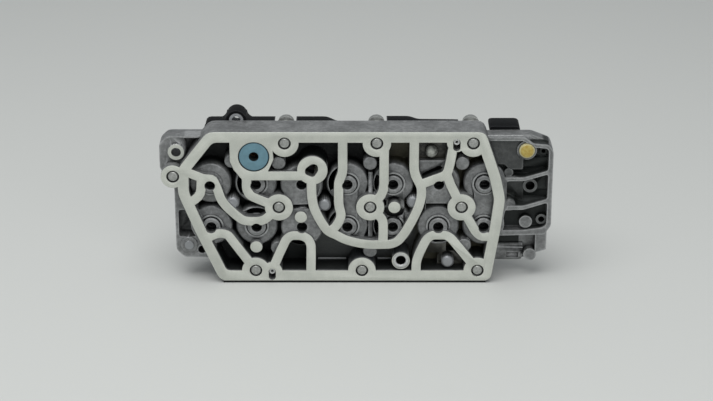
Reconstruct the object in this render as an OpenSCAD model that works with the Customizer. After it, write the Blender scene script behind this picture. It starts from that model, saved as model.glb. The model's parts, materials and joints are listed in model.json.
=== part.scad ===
/* [Valve grid] */
// Spacing of neighbouring valves, across and up; the whole labyrinth follows it
valve_pitch = 35; // [34:0.5:42]
// Outer radius of the cast cup round each valve
cup_r = 16.2; // [15:0.1:17]
// Radius of the valve bore inside each cup
bore_r = 13; // [11:0.1:13.4]
// Radius of the outlet port in the end of each cup
port_r = 4; // [3:0.1:5]
// Radius of the orifice that the plunger closes
orifice_r = 2.6; // [1.5:0.1:2.8]

/* [Sealing face] */
// Depth of the labyrinth from the sealing face to the rear wall
pocket_depth = 24; // [20:0.5:32]
// Thickness of the rear wall
wall_t = 2.5; // [2:0.1:6]
// Width of the inner rails
rail_w = 7.2; // [5:0.1:9]
// Width of the outer frame rail
frame_w = 8.4; // [6:0.1:10]
// Radius of the rings and lugs round the bolts
ring_r = 10.8; // [9:0.1:12]
// Radius of the lug at the left end
lug_r = 9.2; // [8:0.1:11]
// Depth of the cup ends behind the sealing face
cup_face = 7; // [5:0.1:9]
// Depth of the raised seats round the ports
seat_face = 3; // [2:0.1:4.5]
// Radius of a raised seat
seat_r = 7.2; // [6:0.1:8.5]
// Radius of the step outside a seat
step_r = 9.4; // [9:0.1:12]
// Thickness of each cup end at the orifice
cup_end_t = 8; // [5:0.1:10]
// Chamfer round the rim of each cup
cup_chamfer = 1.2; // [0.4:0.1:2]
// Width of the groove round each seat
seat_groove = 0.9; // [0.4:0.1:1.4]
// Drop of the standing edge below the sealing face
edge_drop = 2; // [0.4:0.1:3]
// Radius of the ball that plugs the small cell
ball_r = 4.8; // [3:0.1:5.2]
// Half width of the slanted oval hole below the ball
oval_r = 3; // [1.5:0.1:3.4]
// Radius of the support pillars between the cups
pillar_r = 4.7; // [3:0.1:5.5]
// Radius of the screw bosses between the cups
boss_r = 5.4; // [4.5:0.1:6]

/* [Flange] */
// Set-back of the flange behind the sealing face
flange_back = 10; // [6:0.5:11]
// Depth of the pockets in the right flange
flange_pocket = 8; // [4:0.5:9]
// Height of the ring boss on the left ear
ear_rise = 2.5; // [0.5:0.1:5]
// Depth of the pockets in the left flange
left_pocket = 13; // [4:0.5:14]
// Radius of the round block at the lower right
block_r = 9.4; // [7:0.1:10]
// Radius of the hole in the left ear
ear_hole_r = 3.7; // [2:0.1:4.5]
// Radius of the open hole in the right flange
flange_hole_r = 3.6; // [2:0.1:4.5]

/* [Fittings] */
// Radius of the blue port insert
insert_r = 11.4; // [9:0.1:11.6]
// Radius of the passage through the insert
insert_hole_r = 3.75; // [2:0.05:6]
// Length of the insert
insert_len = 12; // [6:0.5:16]
// Radius of the amber plug
plug_r = 6; // [4:0.1:6.6]
// Height of the amber plug above its boss
plug_h = 2.4; // [1:0.1:4]
// Outer radius of the dowel sleeve
sleeve_r = 6.5; // [5:0.1:7]
// Radius of the hole through the dowel sleeve
sleeve_hole_r = 3.75; // [2:0.05:4.5]
// Length of the dowel sleeve
sleeve_len = 16; // [10:0.5:20]
// Radius of the locating pins
pin_r = 2.4; // [1.8:0.1:3]
// Length of the locating pins
pin_len = 16; // [10:0.5:20]

/* [Mounting bolts] */
// Bolt shank radius
bolt_r = 4; // [3:0.1:4.5]
// Free space round each bolt in its hole
bolt_gap = 0.85; // [0.3:0.05:0.9]
// Bolt length under the head
bolt_len = 41; // [38:0.5:60]
// Radius of the washer face under each head
bolt_flange_r = 7.1; // [6:0.1:8.6]
// Radius of the round head
bolt_head_r = 6.5; // [5:0.1:7.4]
// Width of the socket across its corners, halved
socket_r = 3.6; // [2:0.1:4]
// Height of each head
bolt_head_h = 8; // [5:0.1:10]
// Distance of the bolt ends behind the sealing face
bolt_sink = 0.4; // [0.2:0.1:3]

/* [Solenoid valves] */
// Free space round each valve in its bore
valve_gap = 0.15; // [0.05:0.01:0.25]
// Length of each valve
valve_len = 21.5; // [20:0.5:34]
// Radius of the plunger
plunger_r = 4.7; // [3.5:0.1:5.5]
// Running clearance round the plunger
plunger_gap = 0.3; // [0.1:0.05:0.5]
// Length of the plunger
plunger_len = 12; // [8:0.1:14]
// Travel of the plunger
plunger_travel = 1.5; // [0.5:0.1:2]
// Wire radius of the return spring
wire_r = 0.7; // [0.5:0.05:0.9]
// Radius of the terminals
terminal_r = 0.6; // [0.4:0.05:0.9]
// Distance of each terminal from the middle of its valve
terminal_reach = 6; // [5:0.1:9]
// Section radius of the valve seal
seal_r = 1.2; // [0.8:0.05:1.4]

/* [Rear cover] */
// Thickness of the cover seal
seal_t = 1.5; // [0.8:0.1:3]
// Wall thickness of the cover
cover_t = 3; // [2:0.1:4]
// Height of the raised middle of the cover
dome_h = 6; // [3:0.5:14]
// Thickness of the terminal carrier
carrier_t = 2; // [1.2:0.1:3]
// Length of the posts that hold the carrier down
post_len = 1.5; // [1:0.1:4]
// Radius of those posts
post_r = 4; // [2:0.1:5]
// Corner radius of the cover
cover_corner_r = 4; // [2:0.1:5]
// Inner radius of the wells round the middle bolts
well_r = 9.4; // [9.2:0.1:9.8]
// Radius of the clearance cut round the edge bolts
scallop_r = 10.6; // [9.5:0.1:11.5]
// Radius of the top lug
top_lug_r = 7.9; // [7:0.1:10]
// Outer radius of the lug bush
bush_r = 5.5; // [4:0.1:6]
// Radius of the hole in the lug bush
bush_hole_r = 3.2; // [2:0.1:3.6]
// Shank radius of the cover screws
screw_r = 2.4; // [1.5:0.1:2.6]
// Head radius of the cover screws
screw_head_r = 4.4; // [3.5:0.1:5]
// Head height of the cover screws
screw_head_h = 3.4; // [2.4:0.1:4]
// Depth that the screws reach into their bosses
screw_grip = 9; // [6:0.5:14]

/* [Connector] */
// Length of the connector shroud
shroud_len = 19; // [12:0.5:30]
// Wall thickness of the shroud
shroud_t = 2.2; // [1.5:0.1:2.6]
// Thickness of the connector foot
connector_foot_t = 3; // [2:0.1:5]
// Half width of a contact pin
contact_w = 0.7; // [0.4:0.05:1]

/* [Hidden] */
$fn = 64;
eps = 0.02;
grid_x = -0.2 * valve_pitch;
mid_z = 1.63 * valve_pitch + frame_w / 2;
rear = pocket_depth + wall_t;
bore_end = cup_face + cup_end_t;
bolt_hole_r = bolt_r + bolt_gap;
bolt_seat = bolt_sink + bolt_len;
insert_bed_r = insert_r + 0.5;
insert_step = insert_len / 2;
insert_neck = insert_r - 2.4;
slot_len = 1.7 * pin_r;
pin_sink = 1.6;
blind_end = rear - 2;
valve_r = bore_r - valve_gap;
valve_end = bore_end + valve_len;
core_r = plunger_r + plunger_gap;
plunger_face = bore_end + 0.4;
plunger_end = plunger_face + plunger_len;
spring_len = 4 * plunger_travel;
core_end = plunger_end + spring_len;
coil_r = plunger_r - wire_r - 0.6;
coils = 5;
coil_step = (spring_len - 2 * wire_r) / (coils - 1);
groove_y = bore_end + 6;
carrier_end = valve_end + carrier_t;
lid_in = carrier_end + post_len;
lid_out = lid_in + cover_t;
cover_base = rear + seal_t;
dome_out = lid_out + dome_h;
well_wall = 1.6;
tube_r = screw_r + 0.3 + 2;
plug_boss_r = plug_r + 1.6;
columns = [-3, -2, -1, 0, 1, 2, 3];
rows = [0.5, -0.5];

edge_bolts = [[-1.36, 1.49], [0.64, 1.49], [2.73, 1.49],
              [-2.03, -1.51], [0.32, -1.51], [2.88, -1.51]];
mid_bolts = [[-1.5, 0], [0.5, 0], [2.5, 0]];
left_bolt = [-3.8, 0.72];
all_bolts = concat(edge_bolts, mid_bolts, [left_bolt]);
screw_points = [[-2.52, 1.05], [-1.5, 1], [0.5, 1], [2.5, 1],
                [-1.54, -1], [0.5, -1.08], [2.58, -0.94]];
low_pads = [[-2.51, 0.06], [-0.5, 0.01], [1.44, 0.08], [2.22, -1.34]];
pillars = [[-2.01, -0.94], [-1.02, -0.23], [1.03, 0]];
insert_at = [-2.03, 1.18];
sleeve_at = [1.18, -1.27];
pins_at = [[2.37, 1.51], [-1.67, -1.54]];
ear_at = [-3.73, 1.21];
plug_at = [3.92, 1.21];
flange_hole_at = [4.02, 0.36];
small_hole_at = [4.29, 1.16];
lug_at = [-2.44, 1.74];
moat_at = [1.02, -0.05];
ball_at = [1.83, 1.2];
boss_at = [-3.51, -1];

function valve_names(kind) = [for (r = ["upper", "lower"]) for (i = [1:7]) str(kind, "_", r, "_", i)];
valves = valve_names("valve");
plungers = valve_names("plunger");
springs = valve_names("spring");
spots = [for (r = rows) for (c = columns) [c, r]];

function at(p) = [grid_x + p[0] * valve_pitch, mid_z + p[1] * valve_pitch];
function unit(d) = d / norm(d);
function side(a, b) = let (d = unit(b - a)) [-d[1], d[0]];
function mitre(m, n) = (m + n) / (1 + m * n);
function nib(a, b, c, r) =
    let (t = min(r, min(norm(a - b), norm(c - b)) * 0.45))
    let (p = b + unit(a - b) * t)
    let (q = b + unit(c - b) * t)
    [for (s = [0, 0.33, 0.67, 1]) p * (1 - s) * (1 - s) + b * 2 * s * (1 - s) + q * s * s];
function smooth(p) =
    let (n = len(p))
    concat([p[0]], [for (i = [1:1:n - 2]) each nib(p[i - 1], p[i], p[i + 1], valve_pitch)], [p[n - 1]]);
function rounded(p, r) =
    let (n = len(p))
    [for (i = [0:n - 1]) each nib(p[(i + n - 1) % n], p[i], p[(i + 1) % n], r)];
function edge_dir(p, i) =
    let (n = len(p))
    i == 0 ? side(p[0], p[1])
    : i == n - 1 ? side(p[n - 2], p[n - 1])
    : mitre(side(p[i - 1], p[i]), side(p[i], p[i + 1]));
function ring_dir(p, i) =
    let (n = len(p))
    mitre(side(p[(i + n - 1) % n], p[i]), side(p[i], p[(i + 1) % n]));
function shifted(p, d) = [for (i = [0:len(p) - 1]) p[i] + ring_dir(p, i) * d];
function ribbon(p, w) =
    let (n = len(p))
    concat([for (i = [0:n - 1]) p[i] + edge_dir(p, i) * w / 2],
           [for (i = [n - 1:-1:0]) p[i] - edge_dir(p, i) * w / 2]);
function places(list) = [for (p = list) at(p)];

frame_path = places([[-2.97, 1.63], [2.9, 1.63], [3.22, 0.7], [3.33, 0.2], [3.25, -0.5], [3.07, -1.63],
                     [-2.75, -1.63], [-3.25, -0.5], [-3.58, 0.34], [-3.57, 0.86]]);
frame_outside = rounded(shifted(frame_path, frame_w / 2), 5);
frame_inside = rounded(shifted(frame_path, -frame_w / 2), 3);
cover_path = places([[-3.08, 1.64], [-0.45, 1.64], [-0.25, 1.53], [0.55, 1.53], [0.75, 1.65], [1.36, 1.65],
                     [1.54, 1.58], [2.45, 1.57], [2.9, 1.5], [3.42, 0.85], [3.5, 0.5], [3.5, -0.8],
                     [3.12, -1.5], [-2.7, -1.5], [-3.52, -0.85], [-3.58, 0.9], [-3.12, 1.35]]);
dome_path = places([[-3.3, 0.78], [3.3, 0.78], [3.3, -0.78], [-3.3, -0.78]]);
shroud_path = places([[3.11, 1.62], [3.8, 1.62], [3.8, 0.98], [3.45, 0.98], [3.26, 1.22], [3.13, 1.44]]);
contact_spots = [for (u = [3.44, 3.56, 3.68]) for (v = [1.48, 1.36, 1.24, 1.14]) [u, v]];
ringed = [for (p = spots) if (p[0] != -1 && p != [2, 0.5]) p];

module slab(a, b) {
    translate([0, b, 0])
        rotate([90, 0, 0])
            linear_extrude(b - a)
                children();
}

module rod(p, r, a, b) {
    translate([at(p)[0], a, at(p)[1]])
        rotate([-90, 0, 0])
            cylinder(r = r, h = b - a);
}

module disc(p, r, a, b, c) {
    translate([at(p)[0], a, at(p)[1]])
        rotate([-90, 0, 0]) {
            cylinder(r1 = r - c, r2 = r, h = c);
            translate([0, 0, c])
                cylinder(r = r, h = b - a - c);
        }
}

module rail(list, w) {
    polygon(ribbon(smooth(places(list)), w));
}

module spot(p, r) {
    translate(at(p))
        circle(r = r);
}

module labyrinth() {
    difference() {
        polygon(frame_outside);
        polygon(frame_inside);
    }
    spot(left_bolt, lug_r);
    intersection() {
        polygon(frame_outside);
        union() {
            for (p = edge_bolts) {
                spot(p, ring_r);
            }
            spot(sleeve_at, sleeve_r + 0.2);
            spot(pins_at[0], ring_r * 0.7);
            spot(pins_at[1], ring_r * 0.75);
        }
    }
    for (p = mid_bolts) {
        spot(p, ring_r);
    }
    for (p = pillars) {
        spot(p, pillar_r);
    }
    rail([[-3.5, 0.83], [-3.12, 0.67], [-2.93, 0.67], [-2.83, 0.42], [-2.77, 0.2], [-2.65, 0.02],
          [-2.46, -0.17], [-2.29, -0.31], [-2.14, -0.33], [-1.85, -0.33], [-1.5, 0]], rail_w);
    rail([[-3.18, 0.66], [-3.2, 0.28], [-3.48, 0.08]], rail_w);
    rail([[-2.3, 0.74], [-0.9, 0.74]], rail_w);
    rail([[-2.19, 0.76], [-2.2, 0.44], [-2.13, 0.28], [-1.95, 0.19], [-1.5, 0]], rail_w);
    rail([[-0.78, 0.7], [-0.78, 0.27], [-0.74, 0], [-0.62, -0.27], [-0.44, -0.57], [-0.22, -0.67],
          [-0.05, -0.77], [0.23, -0.85], [0.5, -0.89], [0.96, -0.88], [1.11, -0.81], [1.25, -0.63],
          [1.42, -0.32], [1.56, 0], [1.62, 0.25], [1.62, 0.48], [1.45, 0.8], [1.45, 1.62]], rail_w);
    rail([[-0.1, 1.62], [-0.1, 0.81], [-0.19, 0.6], [-0.19, 0.04], [-0.12, -0.2], [-0.25, -0.46],
          [-0.42, -0.6]], rail_w);
    rail([[0.8, 1.62], [0.8, 0.34], [0.5, 0]], rail_w);
    rail([[0.5, 0], [0.78, -0.28], [0.79, -0.53], [0.78, -0.87]], rail_w);
    rail([[1.58, 0.53], [1.93, 0.67], [2.17, 0.76], [2.24, 1.07], [2.28, 1.34], [2.33, 1.62]], rail_w);
    rail([[2.17, 0.76], [2.25, 0.53], [2.35, 0.32], [2.5, 0], [2.65, -0.27], [2.82, -0.58],
          [2.95, -0.7], [3.24, -0.7]], rail_w);
    rail([[-3.16, -0.78], [-2.94, -0.65], [-2.79, -0.61], [-2.63, -0.65], [-2.37, -1.03],
          [-2.03, -1.51]], rail_w);
    rail([[-1.69, -1.56], [-1.49, -1.07], [-1.35, -0.76], [-1.24, -0.67], [-1.02, -0.67],
          [-0.87, -0.74], [-0.8, -0.89], [-0.81, -1.62]], rail_w);
    rail([[1.52, -1.62], [1.52, -1.3], [1.6, -1.06], [1.74, -0.76], [1.86, -0.66], [2.17, -0.66],
          [2.28, -0.73], [2.68, -1.24], [2.88, -1.51]], rail_w);
    spot([-0.76, 0.87], 11.6);
    spot(insert_at, insert_bed_r + 1.7);
    polygon(places([[-2.55, 1.6], [-2.55, 1.08], [-2.47, 0.88], [-2.3, 0.66], [-1.79, 0.7], [-1.6, 1.12],
                    [-1.64, 1.6]]));
}

module eye() {
    polygon(rounded(places([[-0.92, 0.9], [-0.77, 1.02], [-0.65, 1], [-0.63, 0.86], [-0.74, 0.7],
                            [-0.92, 0.78]]), 2));
}

module left_flange() {
    polygon(rounded(places([[-4.1, 0.8], [-4.1, 1.38], [-3.92, 1.55], [-2.98, 1.55], [-3.56, 0.84],
                            [-3.57, 0.34], [-2.88, -1.32], [-3.62, -1.3], [-3.8, -1.12], [-3.8, 0.4],
                            [-3.95, 0.68]]), 2.5));
}

module left_pockets() {
    polygon(rounded(places([[-3.73, -0.17], [-3.73, -0.81], [-3.35, -0.81], [-3.42, -0.17]]), 2));
    polygon(rounded(places([[-3.56, 1.52], [-3.05, 1.52], [-3.5, 0.9], [-3.62, 0.93], [-3.52, 1.14]]), 1));
}

module right_flange(corner) {
    polygon(rounded(places(concat([[2.92, 1.53]], corner, [[4.5, -0.55], [4.36, -0.76], [3.2, -0.79],
                                                           [3.33, 0.2]])), 2));
}

module upper_pocket() {
    polygon(rounded(places([[3.05, 1.45], [3.84, 1.45], [4.03, 1.3], [4.36, 1.27], [4.4, 1.2], [4.4, 0.75],
                            [3.87, 0.59], [3.4, 0.59], [3.2, 0.95]]), 2));
}

module middle_pocket() {
    polygon(rounded(places([[3.5, 0.51], [3.87, 0.51], [4.4, 0.67], [4.4, 0.08], [3.87, -0.08],
                            [3.5, -0.08]]), 2));
}

module lower_pocket() {
    polygon(rounded(places([[3.48, -0.17], [3.87, -0.17], [4.4, 0], [4.4, -0.52], [4.3, -0.6],
                            [3.87, -0.66], [3.4, -0.66]]), 2));
}

module kidney(p, a, b) {
    translate(at(p))
        intersection() {
            difference() {
                circle(r = cup_r - 2);
                circle(r = cup_r - 6);
            }
            polygon([[0, 0], for (t = [a, (a + b) / 2, b]) 2 * cup_r * [cos(t), sin(t)]]);
        }
}

module kidneys() {
    kidney([-2, 0.5], 150, 215);
    kidney([0, 0.5], 105, 205);
    kidney([1, 0.5], 152, 208);
    kidney([1, -0.5], 152, 208);
    kidney([-2, -0.5], 60, 125);
    kidney([0, -0.5], 120, 200);
    kidney([-1, -0.5], 235, 305);
    kidney([2, -0.5], 235, 305);
}

module casting() {
    slab(0, rear)
        labyrinth();
    slab(pocket_depth, rear)
        polygon(frame_outside);
    standing_edge();
    difference() {
        union() {
            intersection() {
                slab(0, flange_back + 1)
                    polygon(frame_outside);
                cup_ends();
            }
            for (p = spots) {
                rod(p, cup_r, flange_back, rear);
            }
        }
        slab(-1, bore_end - 1) {
            kidneys();
            oval();
        }
    }
    for (p = screw_points) {
        disc(p, boss_r, seat_face, rear, cup_chamfer * 0.6);
    }
    for (p = low_pads) {
        disc(p, boss_r - 0.5, seat_face, rear, cup_chamfer * 1.2);
    }
    plugged_cell();
    slab(2 * cup_face, rear) {
        polygon(places([[1.78, -0.8], [2.19, -0.8], [2.19, -1.24], [1.78, -1.24]]));
        polygon(places([[2, -1.6], [2, -1.32], [2.1, -1.2], [2.36, -1.2], [2.56, -1.4], [2.56, -1.6]]));
    }
    difference() {
        slab(flange_back, rear)
            left_flange();
        slab(flange_back - 1, flange_back + left_pocket)
            left_pockets();
    }
    disc(ear_at, ear_hole_r + 3, flange_back - ear_rise, rear, 0.6);
    disc(boss_at, 6.8, flange_back - 1, rear, 0.6);
    disc(boss_at, 3.8, flange_back - 1.8, rear, 0.4);
    difference() {
        union() {
            slab(flange_back, flange_back + 6)
                right_flange([[3.86, 1.53], [4.06, 1.38], [4.39, 1.35], [4.5, 1.2]]);
            slab(flange_back + 5, rear)
                right_flange([[4.02, 1.54], [4.43, 1.38], [4.5, 1.2]]);
        }
        slab(flange_back - 1, flange_back + flange_pocket) {
            upper_pocket();
            middle_pocket();
            lower_pocket();
        }
    }
    slab(flange_back + 3.5, rear)
        polygon(rounded(places([[3.04, 1.5], [3.85, 1.5], [3.85, 0.75], [3.54, 0.75], [3.45, 0.87],
                                [3.15, 0.87]]), 1.5));
    slab(flange_back + 5, rear)
        polygon(places([[3.45, 0.52], [3.87, 0.52], [3.87, 0.04], [3.71, 0.04], [3.71, 0.19], [3.45, 0.19]]));
    slab(flange_back + 6.5, rear) {
        polygon(places([[3.85, 0.24], [4.43, 0.24], [4.43, 0.1], [3.85, 0.1]]));
        polygon(places([[3.83, 1], [4.43, 1], [4.43, 0.78], [3.83, 0.78]]));
    }
    rod(plug_at, plug_boss_r, flange_back + 2, rear);
    rod(small_hole_at, 3, flange_back + 5, rear);
    rod(flange_hole_at, flange_hole_r + 2, flange_back + 4, rear);
    rod([4.29, -0.44], 4.2, flange_back + 4, rear);
    rod([3.56, -0.07], 5, flange_back + 1.5, rear);
    rod([3.94, -0.47], 5, flange_back + 1.5, rear);
    rod([3.54, 0.68], 3.4, flange_back + 3, rear);
    slab(flange_back + 11, rear)
        polygon(rounded(places([[3.1, -0.7], [4.41, -0.7], [4.41, -1.16], [4.24, -1.2], [4.15, -1.42],
                                [3.1, -1.5]]), 2));
    slab(flange_back + 3, rear)
        polygon(rounded(places([[4.17, -0.68], [4.42, -0.68], [4.42, -1.16], [4.17, -1.23]]), 1.5));
    rod([4.06, -1.28], 5, flange_back + 3, rear);
    round_block();
}

module standing_edge() {
    translate([at([-2.75, 0])[0], 0.2, 0])
        rotate([90, 0, 90])
            linear_extrude(5.82 * valve_pitch)
                polygon([[0, 1], [0, 0], [edge_drop / 3, -edge_drop],
                         [rear - 0.2, -edge_drop], [rear - 0.2, 1]]);
}

module round_block() {
    difference() {
        intersection() {
            translate([at([3.05, 0])[0], rear, at([0, -1.27])[1]])
                rotate([0, 90, 0])
                    cylinder(r = block_r, h = 0.9 * valve_pitch);
            slab(flange_back, rear)
                polygon(rounded(places([[3.05, -0.9], [3.88, -0.9], [3.92, -1.25], [3.86, -1.6],
                                        [3.05, -1.6]]), 2));
        }
        slab(flange_back, rear - block_r / 2)
            polygon(places([[3.55, -1.27], [3.82, -1.27], [3.82, -1.42], [3.55, -1.42]]));
    }
}

module oval() {
    rail([[1.715, 0.67], [1.86, 0.745], [2.005, 0.82]], 2 * oval_r);
    spot([1.715, 0.67], oval_r);
    spot([2.005, 0.82], oval_r);
}

module plugged_cell() {
    difference() {
        union() {
            slab(2 * cup_face, rear)
                polygon(places([[1.48, 1.6], [2.3, 1.6], [2.2, 0.8], [1.6, 0.6], [1.48, 0.8]]));
            slab(cup_face - 0.2, rear)
                polygon(places([[1.48, 1.03], [2.2, 1.03], [2.15, 0.78], [1.6, 0.6], [1.48, 0.8]]));
        }
        slab(0, bore_end - 1)
            oval();
    }
    rod(ball_at, ball_r - 1, cup_face + ball_r, rear);
    translate([at(ball_at)[0], cup_face + ball_r - 0.4, at(ball_at)[1]])
        sphere(r = ball_r);
}

module cup_ends() {
    difference() {
        union() {
            for (p = spots) {
                disc(p, cup_r, p[0] == -1 ? seat_face : cup_face, flange_back + 1, cup_chamfer);
            }
            for (p = ringed) {
                rod(p, step_r, (seat_face + cup_face) / 2, flange_back + 1);
            }
            webs();
        }
        for (p = ringed) {
            rod(p, seat_r + seat_groove, 0, cup_face + 0.6);
        }
        rod(moat_at, 0.27 * valve_pitch, 0, flange_back, $fn = 8);
    }
    for (p = spots) {
        disc(p, seat_r, seat_face, flange_back + 1, 0.5);
    }
}

module webs() {
    slab(seat_face, flange_back + 1) {
        polygon(places([[-1.36, 0.5], [-0.7, 0.5], [-0.7, 0.04], [-1.36, 0.04]]));
        polygon(places([[-1.36, -0.5], [-0.7, -0.5], [-0.7, -0.06], [-1.36, -0.06]]));
        polygon(places([[1.72, 0.62], [2.34, 0.62], [2.34, 0.06], [1.72, 0.06]]));
    }
    slab(cup_face - 1, flange_back + 1) {
        polygon(places([[-0.22, 0.5], [0.22, 0.5], [0.22, -0.5], [-0.22, -0.5]]));
        polygon(places([[0.86, 0.5], [1.25, 0.5], [1.25, -0.5], [0.86, -0.5]]));
        polygon(places([[2.78, 0.5], [3.22, 0.5], [3.22, -0.5], [2.78, -0.5]]));
        polygon(places([[0.46, 0.76], [0.55, 0.76], [0.55, 0.2], [0.46, 0.2]]));
        polygon(places([[0.46, -0.2], [0.55, -0.2], [0.55, -0.76], [0.46, -0.76]]));
    }
}

module housing() {
    color("silver")
        difference() {
            casting();
            for (p = all_bolts) {
                rod(p, bolt_hole_r, -1, rear + 1);
            }
            for (p = spots) {
                rod(p, bore_r, bore_end, rear + 1);
            }
            for (p = spots) {
                rod(p, port_r, -1, bore_end - 3);
            }
            for (p = spots) {
                rod(p, orifice_r, 0, bore_end + 1);
            }
            for (p = screw_points) {
                rod(p, screw_r + 0.1, rear - screw_grip - 2, rear + 1);
            }
            rod(insert_at, insert_bed_r, -1, insert_step + 0.4);
            rod(insert_at, insert_neck + 0.1, 0, insert_len + 0.4);
            rod(insert_at, insert_hole_r, 0, rear + 1);
            rod(sleeve_at, sleeve_r, -1, sleeve_len + 0.4);
            rod(sleeve_at, sleeve_hole_r - 0.75, 0, rear - 1);
            for (p = pins_at) {
                slab(-1, pin_sink + pin_len)
                    pin_slot(p);
            }
            slab(-1, pocket_depth)
                eye();
            rod(ear_at, ear_hole_r, 0, rear + 1);
            rod([-3.23, -1.12], 3.2, 0, blind_end);
            rod(flange_hole_at, flange_hole_r, 0, blind_end);
            rod([4.29, -0.44], 2.4, 0, rear - 3);
            rod(small_hole_at, 1.6, 0, rear - 3);
            rod(plug_at, plug_r + 0.5, 0, flange_back + 2);
            rod(plug_at, plug_r - 1, 0, rear - 3);
        }
}

module pin_slot(p) {
    translate(at(p)) {
        circle(r = pin_r + 0.3);
        translate([0, -slot_len])
            circle(r = pin_r + 0.3);
        translate([-pin_r - 0.3, -slot_len])
            square([2 * pin_r + 0.6, slot_len]);
    }
}

module mounting_bolts() {
    color("lightgray")
        for (p = all_bolts) {
            translate([at(p)[0], bolt_sink, at(p)[1]])
                rotate([-90, 0, 0]) {
                    cylinder(r1 = bolt_r - 0.8, r2 = bolt_r, h = 0.8);
                    translate([0, 0, 0.8])
                        cylinder(r = bolt_r, h = bolt_len - 0.8);
                    translate([0, 0, bolt_len])
                        cylinder(r = bolt_flange_r, h = 1.8);
                    translate([0, 0, bolt_len])
                        difference() {
                            union() {
                                cylinder(r = bolt_head_r, h = bolt_head_h - 1.2);
                                translate([0, 0, bolt_head_h - 1.2])
                                    cylinder(r1 = bolt_head_r, r2 = bolt_head_r - 1.2, h = 1.2);
                            }
                            translate([0, 0, bolt_head_h / 2])
                                cylinder(r = socket_r, h = bolt_head_h, $fn = 6);
                        }
                }
        }
}

module port_insert() {
    color("cadetblue")
        translate([at(insert_at)[0], 0.4, at(insert_at)[1]])
            rotate([-90, 0, 0])
                rotate_extrude()
                    polygon([[insert_hole_r, 0], [insert_r - 0.6, 0], [insert_r, 0.6],
                             [insert_r, insert_step], [insert_neck, insert_step],
                             [insert_neck, insert_len], [insert_hole_r, insert_len]]);
}

module amber_plug() {
    color("goldenrod")
        translate([at(plug_at)[0], flange_back + 2, at(plug_at)[1]])
            rotate([90, 0, 0]) {
                cylinder(r = plug_r, h = plug_h * 0.6);
                cylinder(r = plug_r - 1.1, h = plug_h);
                translate([0, 0, -6])
                    cylinder(r = plug_r - 1, h = 6);
            }
}

module dowel_sleeve() {
    color("gainsboro")
        translate([at(sleeve_at)[0], 0.4, at(sleeve_at)[1]])
            rotate([-90, 0, 0])
                rotate_extrude()
                    polygon([[sleeve_hole_r + 0.5, 0], [sleeve_r - 0.5, 0], [sleeve_r, 0.5],
                             [sleeve_r, sleeve_len], [sleeve_hole_r, sleeve_len], [sleeve_hole_r, 0.5]]);
}

module locating_pins() {
    color("gainsboro")
        for (p = pins_at) {
            translate([at(p)[0], pin_sink, at(p)[1]])
                rotate([-90, 0, 0])
                    difference() {
                        cylinder(r = pin_r, h = pin_len);
                        translate([0, 0, -1])
                            cylinder(r = pin_r * 0.45, h = pin_len * 0.5);
                    }
        }
}

module valve(p) {
    color("dimgray")
        translate([at(p)[0], bore_end, at(p)[1]])
            rotate([-90, 0, 0]) {
                difference() {
                    cylinder(r = valve_r, h = valve_len);
                    translate([0, 0, -1])
                        cylinder(r = core_r, h = core_end - bore_end + 1);
                    translate([0, 0, groove_y - bore_end])
                        rotate_extrude()
                            translate([valve_r - 2 * seal_r, 0])
                                square([2 * seal_r + 1, 2 * seal_r + 0.4]);
                }
                for (s = [-1, 1]) {
                    translate([s * terminal_reach, 0, valve_len - 1])
                        cylinder(r = terminal_r, h = carrier_t + 2);
                }
            }
}

module valve_seals() {
    color("black")
        for (p = spots) {
            translate([at(p)[0], groove_y + seal_r + 0.2, at(p)[1]])
                rotate([-90, 0, 0])
                    rotate_extrude()
                        translate([valve_r - seal_r + valve_gap, 0])
                            circle(r = seal_r);
        }
}

module plunger(p) {
    color("slategray")
        translate([at(p)[0], plunger_face, at(p)[1]])
            rotate([-90, 0, 0]) {
                cylinder(r1 = plunger_r - 0.8, r2 = plunger_r, h = 1);
                translate([0, 0, 1])
                    cylinder(r = plunger_r, h = plunger_len - 1);
            }
}

module spring(p) {
    color("darkgray")
        translate([at(p)[0], plunger_end + wire_r, at(p)[1]])
            rotate([-90, 0, 0])
                for (i = [0:coils - 1]) {
                    translate([0, 0, i * coil_step])
                        rotate_extrude()
                            translate([coil_r, 0])
                                circle(r = wire_r);
                }
}

module rim(w) {
    difference() {
        union() {
            difference() {
                polygon(rounded(shifted(cover_path, w / 2), cover_corner_r));
                polygon(rounded(shifted(cover_path, -w / 2), cover_corner_r - 1));
            }
            intersection() {
                polygon(rounded(shifted(cover_path, w / 2), cover_corner_r));
                union() {
                    for (p = edge_bolts) {
                        spot(p, scallop_r + w);
                    }
                }
            }
        }
        scallops(0);
    }
}

module scallops(grow) {
    for (p = edge_bolts) {
        spot(p, scallop_r + grow);
    }
    spot(left_bolt, scallop_r + grow);
}

module cover_seal() {
    color("darkslategray")
        difference() {
            union() {
                slab(rear, cover_base)
                    rim(cover_t + 1);
                slab(rear, cover_base)
                    intersection() {
                        spot(lug_at, bush_r + 3);
                        polygon(frame_outside);
                    }
            }
            rod(lug_at, bush_r + 0.4, rear - 1, cover_base + 1);
            for (p = screw_points) {
                rod(p, screw_r + 0.3, rear - 1, cover_base + 1);
            }
        }
}

module terminal_carrier() {
    color("darkgreen")
        slab(valve_end, carrier_end)
            difference() {
                polygon(rounded(shifted(cover_path, -cover_t / 2 - 1), cover_corner_r - 1));
                scallops(cover_t + 1.5);
                spot(lug_at, top_lug_r + 0.5);
                for (p = mid_bolts) {
                    spot(p, well_r + well_wall + 0.4);
                }
                for (p = screw_points) {
                    spot(p, tube_r + 0.5);
                }
                for (p = spots) {
                    for (s = [-1, 1]) {
                        translate(at(p) + [s * terminal_reach, 0])
                            circle(r = terminal_r + 0.3);
                    }
                }
            }
}

module dome(inset) {
    polygon(rounded(shifted(dome_path, -inset), 0.23 * valve_pitch));
}

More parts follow.
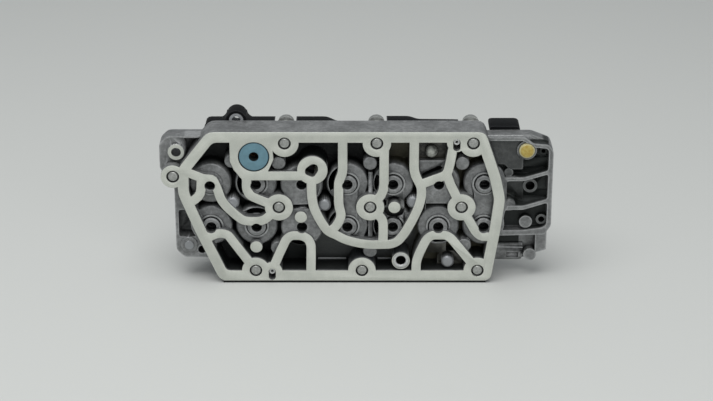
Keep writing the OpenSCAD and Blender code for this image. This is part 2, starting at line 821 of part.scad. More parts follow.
module lug_foot() {
    difference() {
        polygon(places([for (d = [[-0.4, -0.1], [-0.4, 0.1], [0.4, 0.1], [0.4, -0.1]]) lug_at + d]));
        for (s = [-1, 1]) {
            spot(lug_at + [s * 0.4, 0.11], 0.18 * valve_pitch);
        }
    }
}

module rear_cover() {
    color("black")
        difference() {
            union() {
                difference() {
                    union() {
                        slab(cover_base, lid_out)
                            rim(cover_t);
                        slab(lid_in, lid_out)
                            difference() {
                                polygon(rounded(shifted(cover_path, cover_t / 2), cover_corner_r));
                                scallops(0);
                            }
                        slab(lid_in, dome_out)
                            dome(0);
                    }
                    slab(lid_in - 1, dome_out - cover_t)
                        dome(cover_t);
                }
                for (p = mid_bolts) {
                    rod(p, well_r + well_wall, cover_base, dome_out);
                }
                for (p = screw_points) {
                    rod(p, tube_r, cover_base, lid_out);
                }
                for (p = spots) {
                    rod(p, post_r, carrier_end, dome_out - eps);
                }
                for (u = [-2.5, -0.5, 1.5]) {
                    slab(dome_out - 1, dome_out + 1.6)
                        rail([[u, 0.7], [u, -0.7]], 0.08 * valve_pitch);
                }
                rod(lug_at, top_lug_r, cover_base, lid_out);
                slab(cover_base, lid_out)
                    lug_foot();
            }
            for (p = mid_bolts) {
                rod(p, well_r, cover_base - 1, dome_out + 1);
            }
            for (p = screw_points) {
                rod(p, screw_r + 0.3, cover_base - 1, lid_out + 1);
            }
            rod(lug_at, bush_r, cover_base - 1, lid_out + 1);
        }
}

module cover_screws() {
    color("gray")
        for (p = screw_points) {
            translate([at(p)[0], lid_out, at(p)[1]])
                rotate([-90, 0, 0]) {
                    translate([0, 0, rear - screw_grip - lid_out])
                        cylinder(r = screw_r, h = lid_out - rear + screw_grip);
                    difference() {
                        cylinder(r = screw_head_r, h = screw_head_h);
                        translate([0, 0, screw_head_h - 1.8])
                            cylinder(r = screw_head_r * 0.5, h = 3, $fn = 6);
                    }
                }
        }
}

module lug_bush() {
    color("silver")
        translate([at(lug_at)[0], cover_base - 0.2, at(lug_at)[1]])
            rotate([-90, 0, 0])
                difference() {
                    cylinder(r = bush_r, h = lid_out - cover_base + 0.4);
                    translate([0, 0, -1])
                        cylinder(r = bush_hole_r, h = lid_out);
                }
}

module connector() {
    color("black")
        difference() {
            union() {
                slab(rear, rear + connector_foot_t)
                    polygon(rounded(places([[3.22, 1.4], [4, 1.4], [4, 0.9], [3.48, 0.9], [3.26, 1.22]]), 3));
                slab(rear, rear + shroud_len)
                    polygon(rounded(shroud_path, 4));
            }
            slab(rear + connector_foot_t, rear + shroud_len + 1)
                polygon(rounded(shifted(shroud_path, -shroud_t), 3));
            for (p = contact_spots) {
                translate([at(p)[0] - contact_w, rear, at(p)[1] - contact_w])
                    cube([2 * contact_w, shroud_len, 2 * contact_w]);
            }
        }
}

module contact_pins() {
    color("gold")
        for (p = contact_spots) {
            translate([at(p)[0] - contact_w, rear + 0.2, at(p)[1] - contact_w])
                cube([2 * contact_w, 0.74 * shroud_len, 2 * contact_w]);
        }
}

housing();
mounting_bolts();
port_insert();
amber_plug();
dowel_sleeve();
locating_pins();
valve_seals();
terminal_carrier();
cover_seal();
rear_cover();
cover_screws();
lug_bush();
connector();
contact_pins();
for (i = [0:13]) valve(spots[i]);
for (i = [0:13]) plunger(spots[i]);
for (i = [0:13]) spring(spots[i]);
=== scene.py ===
import json
import math
import bpy
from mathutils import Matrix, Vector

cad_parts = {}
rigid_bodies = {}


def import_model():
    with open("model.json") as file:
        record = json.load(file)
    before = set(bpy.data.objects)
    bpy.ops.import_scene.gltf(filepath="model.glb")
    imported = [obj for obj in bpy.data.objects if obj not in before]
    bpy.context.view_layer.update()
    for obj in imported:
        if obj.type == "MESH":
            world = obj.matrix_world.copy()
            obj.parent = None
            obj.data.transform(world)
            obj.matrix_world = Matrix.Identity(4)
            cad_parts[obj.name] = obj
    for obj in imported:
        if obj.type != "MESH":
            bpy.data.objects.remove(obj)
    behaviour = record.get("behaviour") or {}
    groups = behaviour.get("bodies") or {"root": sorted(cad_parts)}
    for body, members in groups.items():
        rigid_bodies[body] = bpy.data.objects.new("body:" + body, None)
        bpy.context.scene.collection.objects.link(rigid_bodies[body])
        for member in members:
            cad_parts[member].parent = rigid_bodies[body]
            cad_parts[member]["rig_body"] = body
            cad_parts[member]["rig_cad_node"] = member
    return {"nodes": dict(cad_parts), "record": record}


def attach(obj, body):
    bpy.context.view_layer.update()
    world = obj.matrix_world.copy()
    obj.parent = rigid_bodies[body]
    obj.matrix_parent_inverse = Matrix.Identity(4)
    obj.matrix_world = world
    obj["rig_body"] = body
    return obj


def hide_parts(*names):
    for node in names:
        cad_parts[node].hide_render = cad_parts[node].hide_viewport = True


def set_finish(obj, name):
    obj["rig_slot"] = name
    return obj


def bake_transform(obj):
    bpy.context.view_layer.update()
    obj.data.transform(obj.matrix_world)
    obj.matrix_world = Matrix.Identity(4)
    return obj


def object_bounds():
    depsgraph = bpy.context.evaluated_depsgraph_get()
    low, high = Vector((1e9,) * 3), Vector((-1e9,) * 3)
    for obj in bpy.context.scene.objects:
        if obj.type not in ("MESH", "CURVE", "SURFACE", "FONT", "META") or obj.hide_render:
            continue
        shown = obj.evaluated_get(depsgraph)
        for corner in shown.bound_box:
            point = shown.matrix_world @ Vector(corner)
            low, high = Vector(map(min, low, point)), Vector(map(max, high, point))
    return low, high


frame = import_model()
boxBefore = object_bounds()
nodes = frame["nodes"]
print("frame loaded:", len(nodes), "nodes")


def newMaterial(name):
    mat = bpy.data.materials.new(name)
    mat.use_nodes = True
    tree = mat.node_tree
    tree.nodes.clear()
    out = tree.nodes.new("ShaderNodeOutputMaterial")
    skin = tree.nodes.new("ShaderNodeBsdfPrincipled")
    tree.links.new(skin.outputs["BSDF"], out.inputs["Surface"])
    return mat, tree, skin


def add(tree, kind, **values):
    node = tree.nodes.new(kind)
    for key, value in values.items():
        setattr(node, key, value)
    return node


def feed(tree, socket, value):
    if isinstance(value, (int, float)):
        socket.default_value = value
    elif isinstance(value, tuple):
        socket.default_value = (*value, 1) if socket.type == "RGBA" else value
    else:
        tree.links.new(value, socket)


def calc(tree, operation, a, b=0.0):
    node = add(tree, "ShaderNodeMath", operation=operation)
    feed(tree, node.inputs[0], a)
    feed(tree, node.inputs[1], b)
    return node.outputs[0]


def times(tree, *values):
    result = values[0]
    for value in values[1:]:
        result = calc(tree, "MULTIPLY", result, value)
    return result


def mixColor(tree, factor, a, b):
    node = add(tree, "ShaderNodeMix", data_type="RGBA")
    feed(tree, node.inputs[0], factor)
    feed(tree, node.inputs[6], a)
    feed(tree, node.inputs[7], b)
    return node.outputs[2]


def mixValue(tree, factor, a, b):
    node = add(tree, "ShaderNodeMix", data_type="FLOAT")
    feed(tree, node.inputs[0], factor)
    feed(tree, node.inputs[2], a)
    feed(tree, node.inputs[3], b)
    return node.outputs[0]


def scaled(tree, color, factor):
    node = add(tree, "ShaderNodeVectorMath", operation="SCALE")
    feed(tree, node.inputs[0], color)
    feed(tree, node.inputs["Scale"], factor)
    return node.outputs[0]


def ramp(tree, value, low, high, toLow=0.0, toHigh=1.0):
    node = add(tree, "ShaderNodeMapRange", interpolation_type="SMOOTHSTEP", clamp=True)
    for i, number in enumerate((value, low, high, toLow, toHigh)):
        feed(tree, node.inputs[i], number)
    return node.outputs[0]


def split(tree, vector):
    node = add(tree, "ShaderNodeSeparateXYZ")
    feed(tree, node.inputs[0], vector)
    return node.outputs


def largest(tree, masks):
    result = masks[0]
    for mask in masks[1:]:
        result = calc(tree, "MAXIMUM", result, mask)
    return result


def newGroup(name, inputs, outputs):
    group = bpy.data.node_groups.new(name, "ShaderNodeTree")
    group.interface.new_socket(name="Vector", in_out="INPUT", socket_type="NodeSocketVector")
    for label in inputs:
        group.interface.new_socket(name=label, in_out="INPUT", socket_type="NodeSocketFloat")
    for label in outputs:
        group.interface.new_socket(name=label, in_out="OUTPUT", socket_type="NodeSocketFloat")
    given = group.nodes.new("NodeGroupInput").outputs
    made = group.nodes.new("NodeGroupOutput").inputs
    return group, given, made


def useGroup(tree, group, vector, **values):
    node = tree.nodes.new("ShaderNodeGroup")
    node.node_tree = group
    feed(tree, node.inputs["Vector"], vector)
    for key, value in values.items():
        feed(tree, node.inputs[key], value)
    return node.outputs


# cast skin: fine grain, broad mottle, and a height for the bump
def makeGrain():
    group, given, made = newGroup("grain", ["Fine", "Broad"], ["Grain", "Mottle", "Height"])
    fine = add(group, "ShaderNodeTexNoise")
    feed(group, fine.inputs["Vector"], given["Vector"])
    feed(group, fine.inputs["Scale"], given["Fine"])
    feed(group, fine.inputs["Detail"], 3.0)
    broad = add(group, "ShaderNodeTexNoise")
    feed(group, broad.inputs["Vector"], given["Vector"])
    feed(group, broad.inputs["Scale"], given["Broad"])
    feed(group, broad.inputs["Detail"], 5.0)
    feed(group, broad.inputs["Roughness"], 0.62)
    feed(group, made["Grain"], ramp(group, fine.outputs["Fac"], 0.3, 0.7))
    feed(group, made["Mottle"], ramp(group, broad.outputs["Fac"], 0.34, 0.66))
    half = times(group, broad.outputs["Fac"], 0.5)
    feed(group, made["Height"], calc(group, "ADD", fine.outputs["Fac"], half))
    return group


# long arcs left by the face cutter
def makeMillMarks():
    group, given, made = newGroup("millMarks", ["Scale", "Centre"], ["Marks"])
    centre = add(group, "ShaderNodeCombineXYZ")
    feed(group, centre.inputs["Z"], given["Centre"])
    away = add(group, "ShaderNodeVectorMath", operation="SUBTRACT")
    feed(group, away.inputs[0], given["Vector"])
    feed(group, away.inputs[1], centre.outputs[0])
    wave = add(group, "ShaderNodeTexWave", wave_type="RINGS", rings_direction="Y")
    feed(group, wave.inputs["Vector"], away.outputs[0])
    feed(group, wave.inputs["Scale"], given["Scale"])
    feed(group, wave.inputs["Distortion"], 2.0)
    feed(group, wave.inputs["Detail"], 2.0)
    feed(group, made["Marks"], wave.outputs["Fac"])
    return group


# round patch in the X-Z plane, 1 inside its radius
def makeSpotMask():
    group, given, made = newGroup("spotMask", ["Across", "Up", "Radius"], ["Mask"])
    part = split(group, given["Vector"])
    dx = calc(group, "SUBTRACT", part["X"], given["Across"])
    dz = calc(group, "SUBTRACT", part["Z"], given["Up"])
    away = calc(group, "SQRT", calc(group, "ADD", times(group, dx, dx), times(group, dz, dz)))
    feed(group, made["Mask"], ramp(group, calc(group, "SUBTRACT", given["Radius"], away), 0.0, 0.0003))
    return group


# rectangular patch in the X-Z plane with a soft border
def makeBoxMask():
    group, given, made = newGroup("boxMask", ["Left", "Right", "Low", "High", "Soft"], ["Mask"])
    part = split(group, given["Vector"])
    left = calc(group, "SUBTRACT", part["X"], given["Left"])
    right = calc(group, "SUBTRACT", given["Right"], part["X"])
    below = calc(group, "SUBTRACT", part["Z"], given["Low"])
    above = calc(group, "SUBTRACT", given["High"], part["Z"])
    across = calc(group, "MINIMUM", left, right)
    reach = calc(group, "MINIMUM", across, calc(group, "MINIMUM", below, above))
    feed(group, made["Mask"], ramp(group, reach, 0.0, given["Soft"]))
    return group


# distance from the nearest valve axis
def makeValveGrid():
    group, given, made = newGroup("valveGrid", ["Pitch", "Across", "Up"], ["Radius", "Inside"])
    part = split(group, given["Vector"])
    u = calc(group, "DIVIDE", calc(group, "SUBTRACT", part["X"], given["Across"]), given["Pitch"])
    v = calc(group, "DIVIDE", calc(group, "SUBTRACT", part["Z"], given["Up"]), given["Pitch"])
    du = calc(group, "SUBTRACT", calc(group, "FRACT", calc(group, "ADD", u, 10.5)), 0.5)
    dv = calc(group, "SUBTRACT", calc(group, "FRACT", calc(group, "ADD", v, 10.0)), 0.5)
    away = calc(group, "SQRT", calc(group, "ADD", times(group, du, du), times(group, dv, dv)))
    feed(group, made["Radius"], times(group, away, given["Pitch"]))
    near = calc(group, "LESS_THAN", calc(group, "ABSOLUTE", u), 3.5)
    level = calc(group, "LESS_THAN", calc(group, "ABSOLUTE", v), 1.0)
    feed(group, made["Inside"], times(group, near, level))
    return group


grain, millMarks = makeGrain(), makeMillMarks()
spotMask, boxMask, valveGrid = makeSpotMask(), makeBoxMask(), makeValveGrid()


def spotAt(tree, coord, x, z, radius):
    return useGroup(tree, spotMask, coord, Across=x, Up=z, Radius=radius)["Mask"]


def boxAt(tree, coord, box, soft):
    x0, x1, z0, z1 = box
    return useGroup(tree, boxMask, coord, Left=x0, Right=x1, Low=z0, High=z1, Soft=soft)["Mask"]


# how open a surface point is, looking out of the solid or into it
def openness(tree, reach, inward):
    node = add(tree, "ShaderNodeAmbientOcclusion", samples=6, inside=inward, only_local=True)
    feed(tree, node.inputs["Distance"], reach)
    return node.outputs["AO"]


def bumpFrom(tree, skin, height, strength, distance):
    bump = add(tree, "ShaderNodeBump")
    feed(tree, bump.inputs["Strength"], strength)
    feed(tree, bump.inputs["Distance"], distance)
    feed(tree, bump.inputs["Height"], height)
    feed(tree, skin.inputs["Normal"], bump.outputs["Normal"])


housingLook = {
    # edge: paler tone for worn edges and painted highlights
    "pale": (0.25, 0.255, 0.255), "dull": (0.17, 0.175, 0.175), "edge": (0.42, 0.43, 0.43),
    "face": (0.56, 0.575, 0.52), "faceWorn": (0.44, 0.46, 0.415), "pad": (0.28, 0.29, 0.3),
    # painted shade tones for creases, depths, pockets and holes; painted light tones for the lit wall, dim
    # floors and the eye bore; and a brown stain
    "soot": (0.022, 0.024, 0.024), "deep": (0.009, 0.010, 0.010), "deepOlive": (0.085, 0.08, 0.055),
    "pocket": (0.016, 0.019, 0.018), "wall": (0.075, 0.08, 0.078), "wetFloor": (0.05, 0.056, 0.062),
    "stain": (0.42, 0.24, 0.11), "eyeWall": (0.8, 0.8, 0.7),
    "depthStart": 0.0075, "depthEnd": 0.019, "back": 0.024,
    "pitch": 0.035, "gridX": -0.007, "midZ": 0.06125,
    # inner side of the sealing frame: normal X, normal Z, offset
    "sides": [(0.0, -1.0, -0.1183), (0.0, 1.0, 0.0042), (0.9215, 0.3884, -0.0935), (0.788, -0.615, -0.1602),
              (-0.990, 0.141, -0.0988), (-0.957, -0.289, -0.1246), (1.0, 0.0, -0.1325)],
    # painted shade in the pockets and small cells: box X0, X1, Z0, Z1, then start and full depth
    "shades": [((0.0985, 0.1475, 0.0822, 0.1122), 0.0100, 0.0155),
               ((0.1145, 0.1475, 0.0595, 0.0836), 0.0104, 0.0165),
               ((0.1125, 0.1475, 0.0385, 0.0625), 0.0104, 0.0165),
               ((0.0995, 0.1275, 0.0225, 0.0340), 0.0190, 0.0205),
               ((-0.1385, -0.1225, 0.0290, 0.0556), 0.0105, 0.0330),
               ((-0.0540, -0.0370, 0.0080, 0.0350), 0.0010, 0.0030),
               ((-0.1090, -0.0840, 0.0080, 0.0290), 0.0010, 0.0050),
               ((-0.0535, -0.0135, 0.0955, 0.1150), 0.0010, 0.0040),
               ((0.0480, 0.0685, 0.0790, 0.0955), 0.0072, 0.0080)],
    # upward faces painted dark as shade: box, then start and full depth
    "ledges": [((0.0500, 0.0655, 0.0790, 0.0925), 0.0010, 0.0020),
               ((0.0980, 0.1475, 0.0385, 0.1120), 0.0104, 0.0125)],
    "litWall": (-0.0380, 0.0500, 0.0080, 0.0370), "crust": (0.0440, 0.0740, 0.0975, 0.1180),
    # painted highlight along the corner at the foot of the lit wall
    "corners": [(-0.0305, -0.0080, 0.0075, 0.0094), (0.0165, 0.0275, 0.0075, 0.0094)],
    # bright turned bosses: X, Z, radius, depth
    "bosses": [(-0.13755, 0.1036, 0.0064, 0.0082), (0.05705, 0.10325, 0.0050, 0.0120)],
    "pads": [(-0.09485, 0.06335, 0.0050), (-0.0245, 0.0616, 0.0050), (0.0434, 0.06405, 0.0050),
             (0.0707, 0.01435, 0.0050), (-0.12985, 0.02625, 0.0038)],
    # drillings painted dark inside as shade: X, Z, radius, depth of the mouth
    "holes": [(-0.13755, 0.1036, 0.0039, 0.0082), (0.1337, 0.07385, 0.0038, 0.0145),
              (0.14315, 0.04585, 0.0026, 0.0145), (0.14315, 0.10185, 0.0018, 0.0155),
              (-0.12005, 0.02205, 0.0034, 0.0105)],
    "passage": (-0.07805, 0.10255, 0.0045, 0.0115),
    "eye": (-0.0336, 0.0920, 0.0055),
}


def makeHousingSkin(look):
    mat, tree, skin = newMaterial("castAluminium")
    coord = add(tree, "ShaderNodeTexCoord").outputs["Object"]
    part = split(tree, coord)
    depth = part["Y"]
    skinGrain = useGroup(tree, grain, coord, Fine=900.0, Broad=70.0)
    patch = useGroup(tree, grain, coord, Fine=1600.0, Broad=330.0)
    marks = useGroup(tree, millMarks, coord, Scale=390.0, Centre=-0.25)["Marks"]
    tint = mixColor(tree, skinGrain["Mottle"], look["dull"], look["pale"])
    tint = scaled(tree, tint, mixValue(tree, patch["Mottle"], 0.8, 1.14))
    tint = scaled(tree, tint, mixValue(tree, skinGrain["Grain"], 0.9, 1.1))

    # edges paler from wear and painted highlight, and painted shade darkening the corners and creases
    rubbed = ramp(tree, openness(tree, 0.0014, True), 0.95, 0.6)
    rubbed = times(tree, rubbed, mixValue(tree, patch["Mottle"], 0.5, 0.9))
    tint = mixColor(tree, rubbed, tint, look["edge"])
    creaseShade = ramp(tree, openness(tree, 0.004, False), 0.82, 0.38)
    creaseShade = times(tree, creaseShade, mixValue(tree, patch["Mottle"], 0.9, 0.7))
    tint = mixColor(tree, creaseShade, tint, look["soot"])

    inside = None
    for nx, nz, offset in look["sides"]:
        reach = calc(tree, "ADD", times(tree, part["X"], nx), times(tree, part["Z"], nz))
        reach = calc(tree, "SUBTRACT", reach, offset)
        inside = reach if inside is None else calc(tree, "MINIMUM", inside, reach)
    inside = ramp(tree, inside, 0.0, 0.001)
    front = ramp(tree, depth, look["back"] + 0.0012, look["back"] + 0.0004)

    # painted shade: the cells darken with depth, their floors already near the front, with a painted lit
    # tone on the lit wall
    paintedDepthShade = mixColor(tree, ramp(tree, part["X"], 0.018, 0.034), look["deep"], look["deepOlive"])
    lit = boxAt(tree, coord, look["litWall"], 0.006)
    paintedDepthShade = mixColor(tree, times(tree, lit, ramp(tree, depth, 0.021, 0.023)), paintedDepthShade, look["wall"])
    sunkShade = times(tree, inside, front, ramp(tree, depth, look["depthStart"], look["depthEnd"]))
    tint = mixColor(tree, sunkShade, tint, paintedDepthShade)
    # painted shade on upward faces low in the frame, with a dimly lit floor tone painted under the lit wall
    normal = split(tree, add(tree, "ShaderNodeNewGeometry").outputs["Normal"])
    upward = ramp(tree, normal["Z"], 0.4, 0.7)
    low = times(tree, inside, ramp(tree, part["Z"], 0.032, 0.024))
    low = times(tree, low, ramp(tree, depth, 0.0006, 0.004, 0.0, 0.9))
    ground = mixColor(tree, lit, look["pocket"], look["wetFloor"])
    tint = mixColor(tree, times(tree, upward, low), tint, ground)
    # painted highlight line at the foot of the lit wall
    corner = largest(tree, [boxAt(tree, coord, box, 0.0004) for box in look["corners"]])
    corner = times(tree, corner, ramp(tree, depth, 0.0222, 0.0226), front)
    tint = mixColor(tree, corner, tint, look["edge"])
    # painted shade on upward ledges in the pockets
    ledges = [times(tree, boxAt(tree, coord, box, 0.001), ramp(tree, depth, start, full))
              for box, start, full in look["ledges"]]
    ledge = times(tree, largest(tree, ledges), upward, front, 0.85)
    tint = mixColor(tree, ledge, tint, look["pocket"])
    # painted shade deepening with depth in each box
    shades = [times(tree, boxAt(tree, coord, box, 0.0012), ramp(tree, depth, start, full))
              for box, start, full in look["shades"]]
    tint = mixColor(tree, times(tree, largest(tree, shades), front), tint, look["pocket"])

    # painted shade in kidney hollows, seat grooves, ports, drillings and under the standing edge
    valve = useGroup(tree, valveGrid, coord, Pitch=look["pitch"], Across=look["gridX"], Up=look["midZ"])
    hollow = times(tree, ramp(tree, valve["Radius"], 0.0148, 0.0143), ramp(tree, depth, 0.0072, 0.0082))
    ringGap = calc(tree, "ABSOLUTE", calc(tree, "SUBTRACT", valve["Radius"], 0.00765))
    groove = times(tree, ramp(tree, ringGap, 0.0006, 0.0003), ramp(tree, depth, 0.0035, 0.005), 0.8)
    port = times(tree, ramp(tree, valve["Radius"], 0.0042, 0.0039), ramp(tree, depth, 0.003, 0.0045))
    dark = times(tree, valve["Inside"], inside, front, largest(tree, [hollow, groove, port]))
    holes = [times(tree, spotAt(tree, coord, x, z, radius), ramp(tree, depth, mouth, mouth + 0.0006))
             for x, z, radius, mouth in look["holes"]]
    foot = ramp(tree, part["Z"], 0.0, -0.0002)
    dark = largest(tree, [dark, foot, times(tree, largest(tree, holes), front)])
    tint = mixColor(tree, dark, tint, look["deep"])

    x, z, radius, start = look["passage"]
    passage = times(tree, spotAt(tree, coord, x, z, radius), ramp(tree, depth, start, start + 0.001))
    tint = mixColor(tree, passage, tint, look["stain"])
    # painted light on the lit side of the eye ring's bore
    x, z, radius = look["eye"]
    eye = times(tree, spotAt(tree, coord, x, z, radius), ramp(tree, part["X"], x - 0.0015, x + 0.0005))
    tint = mixColor(tree, times(tree, eye, ramp(tree, depth, 0.004, 0.009)), tint, look["eyeWall"])
    pads = largest(tree, [spotAt(tree, coord, x, z, radius) for x, z, radius in look["pads"]])
    tint = mixColor(tree, times(tree, pads, ramp(tree, depth, 0.0095, 0.0085)), tint, look["pad"])

    # machined sealing face and turned bosses
    face = ramp(tree, depth, 0.0004, 0.00025)
    for x, z, radius, limit in look["bosses"]:
        boss = times(tree, spotAt(tree, coord, x, z, radius), calc(tree, "LESS_THAN", depth, limit))
        face = calc(tree, "MAXIMUM", face, boss)
    face = times(tree, face, calc(tree, "SUBTRACT", 1.0, dark))
    faceTint = mixColor(tree, times(tree, skinGrain["Mottle"], 0.5), look["face"], look["faceWorn"])
    faceTint = scaled(tree, faceTint, mixValue(tree, patch["Grain"], 0.93, 1.05))
    faceTint = scaled(tree, faceTint, mixValue(tree, marks, 0.97, 1.02))
    tint = mixColor(tree, face, tint, faceTint)
    # dark crust specks around the ball, growing stronger with depth as painted shade
    speck = useGroup(tree, grain, coord, Fine=420.0, Broad=330.0)["Mottle"]
    crust = times(tree, boxAt(tree, coord, look["crust"], 0.001), speck, front)
    crust = times(tree, crust, ramp(tree, depth, 0.004, 0.009, 0.0, 0.8))
    feed(tree, skin.inputs["Base Color"], mixColor(tree, crust, tint, look["deep"]))
    feed(tree, skin.inputs["Metallic"], mixValue(tree, face, 0.55, 0.2))
    rough = calc(tree, "ADD", times(tree, skinGrain["Grain"], 0.14), mixValue(tree, face, 0.4, 0.42))
    feed(tree, skin.inputs["Roughness"], rough)
    height = calc(tree, "ADD", skinGrain["Height"], times(tree, marks, face, 0.3))
    bumpFrom(tree, skin, height, mixValue(tree, face, 0.4, 0.15), 0.0004)
    return mat


def makePlain(name, look):
    mat, tree, skin = newMaterial(name)
    coord = add(tree, "ShaderNodeTexCoord").outputs["Object"]
    depth = split(tree, coord)["Y"]
    skinGrain = useGroup(tree, grain, coord, Fine=look.get("fine", 800.0), Broad=look.get("broad", 120.0))
    shade = tuple(c * look.get("spread", 0.85) for c in look["tint"])
    tint = mixColor(tree, skinGrain["Mottle"], look.get("second", shade), look["tint"])
    # painted shade inside a bore
    for x, z, radius, start, inner in look.get("bores", []):  # darker inside a bore
        bore = times(tree, spotAt(tree, coord, x, z, radius), ramp(tree, depth, start, start + 0.0008))
        tint = mixColor(tree, bore, tint, inner)
    # the blue insert's darker outer ring is painted shade of its gap; the amber plug's paler rim is its own
    # colour
    if "rim" in look:  # another tone outside a radius
        x, z, radius, other = look["rim"]
        tint = mixColor(tree, spotAt(tree, coord, x, z, radius), other, tint)
    # edges paler from wear and painted highlight
    if "rubbed" in look:  # paler along the edges
        edge = ramp(tree, openness(tree, 0.0009, True), 0.95, 0.6, 0.0, 0.6)
        tint = mixColor(tree, edge, tint, look["rubbed"])
    feed(tree, skin.inputs["Base Color"], tint)
    feed(tree, skin.inputs["Metallic"], look.get("metal", 0.0))
    feed(tree, skin.inputs["Specular IOR Level"], look.get("gloss", 0.5))
    rough = calc(tree, "ADD", times(tree, skinGrain["Grain"], 0.14), look["rough"] - 0.07)
    feed(tree, skin.inputs["Roughness"], rough)
    bumpFrom(tree, skin, skinGrain["Height"], look.get("bump", 0.15), 0.0002)
    return mat


plainLooks = {
    "bolt_steel": {"tint": (0.43, 0.44, 0.42), "rough": 0.42, "metal": 0.8, "spread": 0.7, "broad": 620.0,
                   "rubbed": (0.6, 0.6, 0.58)},
    # blue insert: a darker outer ring painted as the shade of its gap, and its bore painted dark as shade
    "blue_insert": {"tint": (0.12, 0.24, 0.295), "rough": 0.5, "spread": 0.86, "broad": 240.0,
                    "rim": (-0.07805, 0.10255, 0.0110, (0.06, 0.125, 0.16)),
                    "bores": [(-0.07805, 0.10255, 0.0040, 0.0008, (0.02, 0.02, 0.018))]},
    "amber_plug": {"tint": (0.46, 0.37, 0.10), "second": (0.36, 0.245, 0.04), "rough": 0.42, "broad": 420.0,
                   "bump": 0.5, "rim": (0.1302, 0.1036, 0.0050, (0.5, 0.45, 0.24))},
    # dowel sleeve bore painted dark as shade
    "bright_steel": {"tint": (0.6, 0.61, 0.6), "rough": 0.38, "metal": 0.7, "broad": 420.0,
                     "bores": [(0.0343, 0.0168, 0.0043, 0.0010, (0.012, 0.012, 0.012))]},
    "seal_rubber": {"tint": (0.008, 0.008, 0.008), "rough": 0.7, "gloss": 0.2},
    "carrier_plastic": {"tint": (0.02, 0.022, 0.02), "rough": 0.55},
    "cover_plastic": {"tint": (0.0048, 0.0053, 0.006), "rough": 0.54, "gloss": 0.08, "fine": 1500.0,
                      "broad": 300.0, "spread": 0.7, "bump": 0.3, "rubbed": (0.05, 0.052, 0.056)},
    "screw_steel": {"tint": (0.34, 0.34, 0.33), "rough": 0.4, "metal": 0.9, "broad": 620.0,
                    "rubbed": (0.5, 0.5, 0.48)},
    "bush_steel": {"tint": (0.27, 0.28, 0.29), "rough": 0.8, "gloss": 0.2, "broad": 420.0},
    "contact_metal": {"tint": (0.5, 0.36, 0.12), "rough": 0.3, "metal": 1.0},
    "valve_can": {"tint": (0.03, 0.03, 0.033), "rough": 0.5, "metal": 0.4},
    "plunger_steel": {"tint": (0.1, 0.1, 0.1), "rough": 0.45, "metal": 0.8},
    "spring_steel": {"tint": (0.3, 0.3, 0.3), "rough": 0.35, "metal": 1.0},
}
finishes = {"cast_aluminium": makeHousingSkin(housingLook)}
for slotName, look in plainLooks.items():
    first, second = slotName.split("_")
    finishes[slotName] = makePlain(first + second.title(), look)
print("finishes made:", len(finishes))

for entry in frame["record"]["subparts"]:
    piece = nodes[entry["node"]]
    piece.data.materials.clear()
    piece.data.materials.append(finishes[entry["material_slot"]])
    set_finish(piece, entry["material_slot"])
print("CAD nodes dressed")

edges = {
    "housing": {"width": 0.0004, "segments": 2, "planes": (0.0, 0.003, 0.007)},
    "rear_cover": {"width": 0.0009, "segments": 3},
    "connector": {"width": 0.0005, "segments": 2},
    "mounting_bolts": {"width": 0.0003, "segments": 2},
    "port_insert": {"width": 0.0003, "segments": 2},
    "dowel_sleeve": {"width": 0.00025, "segments": 2},
    "amber_plug": {"width": 0.0005, "segments": 3},
    "lug_bush": {"width": 0.0004, "segments": 2},
    "cover_screws": {"width": 0.0003, "segments": 2},
    "locating_pins": {"width": 0.0003, "segments": 2},
}


# rounds the sharp edges that lie in one plane across the depth
def roundPlane(piece, edge, level):
    mesh = piece.data
    bpy.ops.object.mode_set(mode="EDIT")
    bpy.ops.mesh.select_mode(type="EDGE")
    bpy.ops.mesh.select_all(action="DESELECT")
    bpy.ops.mesh.edges_select_sharp(sharpness=math.radians(40))
    bpy.ops.object.mode_set(mode="OBJECT")
    mesh.vertices.foreach_set("select", [False] * len(mesh.vertices))
    mesh.polygons.foreach_set("select", [False] * len(mesh.polygons))
    chosen = 0
    for line in mesh.edges:
        flat = all(abs(mesh.vertices[i].co.y - level) < 0.00001 for i in line.vertices)
        line.select = line.select and flat
        chosen += line.select
    bpy.ops.object.mode_set(mode="EDIT")
    bpy.ops.mesh.bevel(offset=edge["width"], segments=edge["segments"], affect="EDGES", miter_outer="ARC")
    bpy.ops.object.mode_set(mode="OBJECT")
    print("edges rounded:", chosen)


# copy of a CAD node that takes its place in the scene
def standIn(name, ending):
    source = nodes[name]
    bpy.ops.object.select_all(action="DESELECT")
    bpy.context.view_layer.objects.active = source
    source.select_set(True)
    bpy.ops.object.duplicate()
    piece = bpy.context.active_object
    first, *others = name.split("_")
    piece.name = first + "".join(word.title() for word in others) + ending
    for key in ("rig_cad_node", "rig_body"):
        del piece[key]
    piece.parent = None
    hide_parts(name)
    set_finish(piece, source["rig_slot"])
    return piece


# stand-in with softened edges
def soften(name, edge):
    piece = standIn(name, "Soft")
    bpy.ops.object.mode_set(mode="EDIT")
    bpy.ops.mesh.select_all(action="SELECT")
    bpy.ops.mesh.remove_doubles(threshold=0.000005)
    bpy.ops.mesh.dissolve_limited(angle_limit=math.radians(1.0))
    bpy.ops.object.mode_set(mode="OBJECT")
    if "planes" in edge:
        for level in edge["planes"]:
            roundPlane(piece, edge, level)
    else:
        bevel = piece.modifiers.new("edge", "BEVEL")
        bevel.width = edge["width"]
        bevel.segments = edge["segments"]
        bevel.limit_method = "ANGLE"
        bevel.angle_limit = math.radians(32)
        bpy.ops.object.modifier_apply(modifier=bevel.name)
    bpy.ops.object.shade_smooth_by_angle(angle=math.radians(33))
    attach(piece, "valve_body")
    print(name, "softened:", len(piece.data.polygons), "faces")


for name, edge in edges.items():
    soften(name, edge)

# each return spring gets a stand-in copy with its placement baked in
for joint in frame["record"]["behaviour"]["joints"]:
    for entry in joint["deforming_nodes"]:
        coil = standIn(entry["node"], "Coil")
        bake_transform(coil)

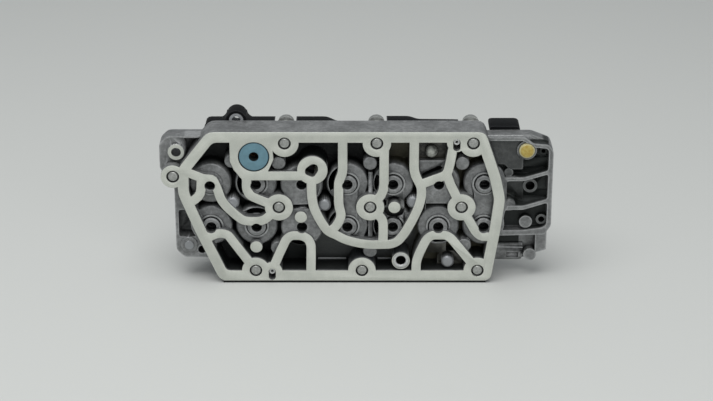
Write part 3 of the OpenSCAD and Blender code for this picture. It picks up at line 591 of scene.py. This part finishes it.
stageLook = {"floor": (0.56, 0.57, 0.55), "size": 8.0}


def makeStage(look):
    bpy.ops.object.select_all(action="DESELECT")
    bpy.ops.mesh.primitive_plane_add(size=look["size"])
    floor = bpy.context.active_object
    floor.name = "floor"
    bpy.ops.object.mode_set(mode="EDIT")
    bpy.ops.mesh.select_all(action="SELECT")
    bpy.ops.transform.translate(value=(0, 0, boxBefore[0][2]))
    bpy.ops.object.mode_set(mode="OBJECT")
    mat, tree, skin = newMaterial("paleFloor")
    feed(tree, skin.inputs["Base Color"], look["floor"])
    feed(tree, skin.inputs["Roughness"], 0.6)
    floor.data.materials.append(mat)


makeStage(stageLook)

lamps = {
    "ceilingPanel": {"place": (-0.25, -0.45, 1.7), "aim": (0, 0.02, 0.05), "size": 1.5, "power": 26},
    "frontFill": {"place": (0.7, -1.7, 0.8), "aim": (0, 0, 0.06), "size": 1.2, "power": 8},
}
for name, lamp in lamps.items():
    bpy.ops.object.light_add(type="AREA", location=lamp["place"])
    light = bpy.context.active_object
    light.name = name
    light.data.size = lamp["size"]
    light.data.energy = lamp["power"]
    dx, dy, dz = (a - p for a, p in zip(lamp["aim"], lamp["place"]))
    light.rotation_euler = (math.atan2(math.hypot(dx, dy), -dz), 0, math.atan2(dx, -dy) + math.pi)
world = bpy.data.worlds.new("softRoom")
bpy.context.scene.world = world
world.use_nodes = True
sky = world.node_tree.nodes["Background"]
sky.inputs[0].default_value = (0.93, 0.97, 1.0, 1)
sky.inputs[1].default_value = 0.38

shot = {"aimZ": 0.0671, "distance": 1.53, "pitch": math.radians(22), "lens": 100.98}
back = shot["distance"] * math.cos(shot["pitch"])
up = shot["aimZ"] + shot["distance"] * math.sin(shot["pitch"])
bpy.ops.object.camera_add(location=(0, -back, up), rotation=(math.pi / 2 - shot["pitch"], 0, 0))
camera = bpy.context.active_object
camera.data.lens = shot["lens"]
camera.data.sensor_width = 36
camera.data.clip_start = 0.05
bpy.context.scene.camera = camera
bpy.context.scene.view_settings.view_transform = "Standard"
print("stage, lamps and camera set")
